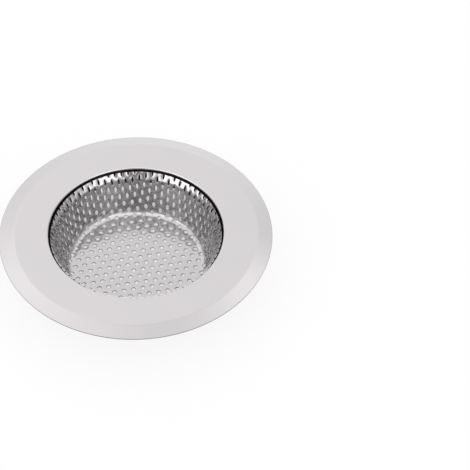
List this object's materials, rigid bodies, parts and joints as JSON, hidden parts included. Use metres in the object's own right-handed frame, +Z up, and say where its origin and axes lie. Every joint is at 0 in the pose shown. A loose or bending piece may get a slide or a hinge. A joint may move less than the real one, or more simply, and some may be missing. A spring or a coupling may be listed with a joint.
{
  "type": "sink strainer",
  "caption": "Round steel sink strainer: a wide flange with a rolled collar, and a perforated basket with a flat floor.",
  "frame": {"origin": "under the middle of the basket floor, on the axis, at the lowest face of the part", "axes": "+Z up along the strainer's axis, out of its mouth"},
  "size_m": [0.1142, 0.1142, 0.0209],
  "materials": {
    "polished_steel": "stainless steel, mirror polished",
    "perforated_steel": "stainless steel, polished, punched and drawn"
  },
  "bodies": {
    "root": {"basket": "perforated_steel", "rim": "polished_steel"}
  },
  "joints": []
}
